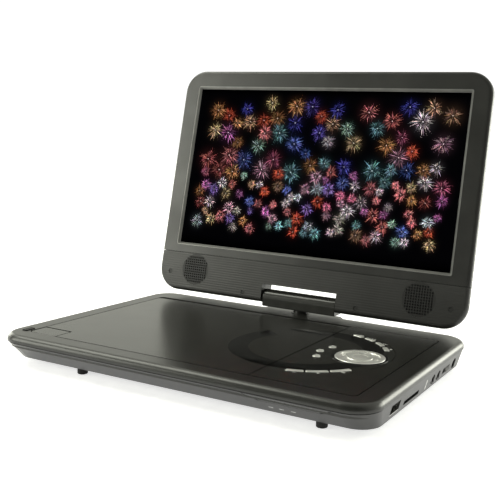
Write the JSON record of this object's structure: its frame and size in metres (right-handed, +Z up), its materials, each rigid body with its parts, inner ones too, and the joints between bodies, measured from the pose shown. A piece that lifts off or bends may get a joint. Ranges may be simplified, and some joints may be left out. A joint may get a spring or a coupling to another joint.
{
  "type": "portable dvd player",
  "caption": "Clamshell disc player with a 10.1 inch widescreen display on a swivel and tilt hinge, a top-loading disc door, a ring of control keys and side sockets.",
  "frame": {"origin": "middle of the open player's footprint in X and Y, at the height of the table that its feet stand on", "axes": "+X to the player's right (sockets side), +Y towards the hinge, +Z up"},
  "size_m": [0.256, 0.2138, 0.2008],
  "materials": {
    "case_black": "fine satin grain",
    "bezel_black": "fine satin grain",
    "speaker_panel_black": "fine horizontal lines",
    "panel_black": "semi-gloss, smooth",
    "ring_gloss": "high gloss",
    "trim_gloss": "high gloss",
    "screen_black": "smooth, gloss",
    "silver_key": "satin plated",
    "rubber_black": "matt",
    "silicone_grey": "translucent silicone",
    "led_white": "diffusing",
    "bright_steel": "bright",
    "zinc_steel": "zinc plated",
    "turret_black": "satin black",
    "black_port": "smooth",
    "switch_grey": "ribbed",
    "tray_black": "satin",
    "lens_glass": "clear",
    "board_green": "solder mask",
    "battery_film": "shrink film",
    "speaker_cone": "paper cone"
  },
  "bodies": {
    "base": {"base_bottom_shell": "case_black", "base_top_shell": "case_black", "control_panel": "panel_black", "panel_ring_inlay": "ring_gloss", "nav_trim_ring": "ring_gloss", "ir_window": "ring_gloss", "status_leds": "led_white", "rubber_feet": "rubber_black", "case_screws": "bright_steel", "rim_pad": "rubber_black", "disc_tray": "tray_black", "door_hinge_pins": "bright_steel", "traverse_chassis": "zinc_steel", "guide_rods": "bright_steel", "drive_motors": "zinc_steel", "battery_pack": "battery_film", "main_board": "board_green", "key_board": "board_green", "keypad_mat": "silicone_grey", "usb_port": "bright_steel", "card_slot": "bright_steel", "audio_jacks": "black_port", "dc_jack": "black_port", "power_switch_body": "black_port", "hinge_plate": "zinc_steel", "swivel_collar": "turret_black", "open_button_spring": "bright_steel"},
    "door": {"disc_door": "panel_black", "door_ring_inlay": "ring_gloss"},
    "open_button": {"open_button": "panel_black"},
    "nav_ring": {"nav_ring": "silver_key"},
    "ok_button": {"ok_button": "silver_key"},
    "power_switch": {"power_switch_knob": "switch_grey"},
    "spindle": {"spindle_hub": "black_port"},
    "pickup": {"pickup_sled": "tray_black", "pickup_lens": "lens_glass"},
    "lead_screw": {"lead_screw": "bright_steel"},
    "swivel": {"swivel_turret": "turret_black", "barrel_cover": "bezel_black", "barrel_core": "zinc_steel"},
    "lid": {"lid_bezel": "bezel_black", "speaker_panel": "speaker_panel_black", "speaker_grilles": "speaker_panel_black", "screen_trim": "trim_gloss", "lcd_panel": "screen_black", "lcd_backlight": "zinc_steel", "speakers": "speaker_cone", "lid_back_cover": "case_black", "tilt_hinges": "zinc_steel", "screw_plugs": "rubber_black"},
    "menu_key": {"menu_key": "silver_key"},
    "setup_key": {"setup_key": "silver_key"},
    "source_key": {"source_key": "silver_key"},
    "previous_key": {"previous_key": "silver_key"},
    "play_key": {"play_key": "silver_key"},
    "next_key": {"next_key": "silver_key"},
    "stop_key": {"stop_key": "silver_key"},
    "volume_down_key": {"volume_down_key": "silver_key"},
    "volume_up_key": {"volume_up_key": "silver_key"},
    "mode_key": {"mode_key": "silver_key"}
  },
  "joints": [
    {"name": "lid_swivel", "type": "hinge", "parent": "base", "child": "swivel", "pos_m": [0, 0.06664, 0.024], "axis": [0, 0, 1], "range_deg": [-180, 90]},
    {"name": "lid_tilt", "type": "hinge", "parent": "swivel", "child": "lid", "pos_m": [0, 0.06664, 0.0287], "axis": [-1, 0, 0], "range_deg": [-101.5, 78.5]},
    {"name": "disc_door_hinge", "type": "hinge", "parent": "base", "child": "door", "pos_m": [-0.034, 0.04334, 0.0165], "axis": [1, 0, 0], "range_deg": [-65, 0]},
    {"name": "open_button_press", "type": "slide", "parent": "base", "child": "open_button", "axis": [0, 0, -1], "range_m": [0, 0.0012], "stiffness_N_per_m": 400, "springref_m": -0.002, "deforming": ["open_button_spring"]},
    {"name": "nav_ring_press", "type": "slide", "parent": "base", "child": "nav_ring", "axis": [0, 0, -1], "range_m": [0, 0.0005], "stiffness_N_per_m": 1500, "springref_m": -0.0005},
    {"name": "ok_button_press", "type": "slide", "parent": "base", "child": "ok_button", "axis": [0, 0, -1], "range_m": [0, 0.0005], "stiffness_N_per_m": 800, "springref_m": -0.0005},
    {"name": "menu_key_press", "type": "slide", "parent": "base", "child": "menu_key", "axis": [0, 0, -1], "range_m": [0, 0.0005], "stiffness_N_per_m": 600, "springref_m": -0.0005},
    {"name": "setup_key_press", "type": "slide", "parent": "base", "child": "setup_key", "axis": [0, 0, -1], "range_m": [0, 0.0005], "stiffness_N_per_m": 600, "springref_m": -0.0005},
    {"name": "source_key_press", "type": "slide", "parent": "base", "child": "source_key", "axis": [0, 0, -1], "range_m": [0, 0.0005], "stiffness_N_per_m": 600, "springref_m": -0.0005},
    {"name": "previous_key_press", "type": "slide", "parent": "base", "child": "previous_key", "axis": [0, 0, -1], "range_m": [0, 0.0005], "stiffness_N_per_m": 600, "springref_m": -0.0005},
    {"name": "play_key_press", "type": "slide", "parent": "base", "child": "play_key", "axis": [0, 0, -1], "range_m": [0, 0.0005], "stiffness_N_per_m": 600, "springref_m": -0.0005},
    {"name": "next_key_press", "type": "slide", "parent": "base", "child": "next_key", "axis": [0, 0, -1], "range_m": [0, 0.0005], "stiffness_N_per_m": 600, "springref_m": -0.0005},
    {"name": "stop_key_press", "type": "slide", "parent": "base", "child": "stop_key", "axis": [0, 0, -1], "range_m": [0, 0.0005], "stiffness_N_per_m": 600, "springref_m": -0.0005},
    {"name": "volume_down_key_press", "type": "slide", "parent": "base", "child": "volume_down_key", "axis": [0, 0, -1], "range_m": [0, 0.0005], "stiffness_N_per_m": 600, "springref_m": -0.0005},
    {"name": "volume_up_key_press", "type": "slide", "parent": "base", "child": "volume_up_key", "axis": [0, 0, -1], "range_m": [0, 0.0005], "stiffness_N_per_m": 600, "springref_m": -0.0005},
    {"name": "mode_key_press", "type": "slide", "parent": "base", "child": "mode_key", "axis": [0, 0, -1], "range_m": [0, 0.0005], "stiffness_N_per_m": 600, "springref_m": -0.0005},
    {"name": "power_switch_slide", "type": "slide", "parent": "base", "child": "power_switch", "axis": [0, 1, 0], "range_m": [-0.0046, 0]},
    {"name": "spindle_spin", "type": "hinge", "parent": "base", "child": "spindle", "pos_m": [-0.033, -0.02236, 0.015], "axis": [0, 0, 1], "continuous": true},
    {"name": "pickup_travel", "type": "slide", "parent": "base", "child": "pickup", "axis": [1, 0, 0], "range_m": [0, 0.033]},
    {"name": "lead_screw_turn", "type": "hinge", "parent": "base", "child": "lead_screw", "pos_m": [0, 0.00164, 0.0093], "axis": [1, 0, 0], "range_deg": [0, 3961]}
  ],
  "couplings": [
    {"joint": "lead_screw_turn", "follows": "pickup_travel", "rad_per_m": 2094.4}
  ]
}
